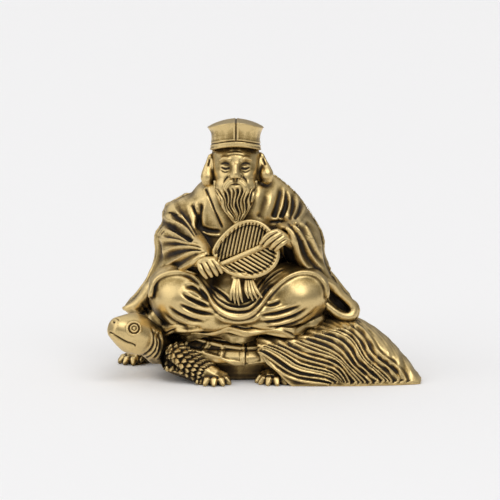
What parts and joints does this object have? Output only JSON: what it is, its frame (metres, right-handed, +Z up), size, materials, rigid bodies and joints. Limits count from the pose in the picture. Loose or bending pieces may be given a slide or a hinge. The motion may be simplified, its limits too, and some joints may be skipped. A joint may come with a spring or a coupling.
{
  "type": "sage on turtle figurine",
  "caption": "Cast antique-brass desk ornament: a bearded sage with a leaf fan, seated cross-legged on a long-tailed turtle.",
  "frame": {"origin": "on the floor, under the middle of the whole ornament's box", "axes": "+X to the viewer's right along the turtle, towards its tail; +Y to the back, away from the viewer; +Z up"},
  "size_m": [0.1206, 0.0684, 0.1],
  "materials": {
    "antique_brass": "satin brass ridges with dark brown patina in the recesses",
    "fitting_steel": "plain zinc-plated"
  },
  "bodies": {
    "root": {"carapace": "antique_brass", "plastron": "antique_brass", "turtle_head": "antique_brass", "front_left_leg": "antique_brass", "front_right_leg": "antique_brass", "hind_left_leg": "antique_brass", "hind_right_leg": "antique_brass", "weed_tail": "antique_brass", "seat_cloth": "antique_brass", "robe_body": "antique_brass", "robe_hem": "antique_brass", "right_sleeve": "antique_brass", "left_sleeve": "antique_brass", "right_hand": "antique_brass", "left_hand": "antique_brass", "right_leg": "antique_brass", "left_leg": "antique_brass", "lap_cloth": "antique_brass", "sash": "antique_brass", "head": "antique_brass", "right_ear": "antique_brass", "left_ear": "antique_brass", "beard": "antique_brass", "hat": "antique_brass", "fan_leaf": "antique_brass", "fan_spine": "antique_brass", "tie_rod": "fitting_steel", "tie_washer": "fitting_steel", "tie_nut": "fitting_steel"}
  },
  "joints": []
}
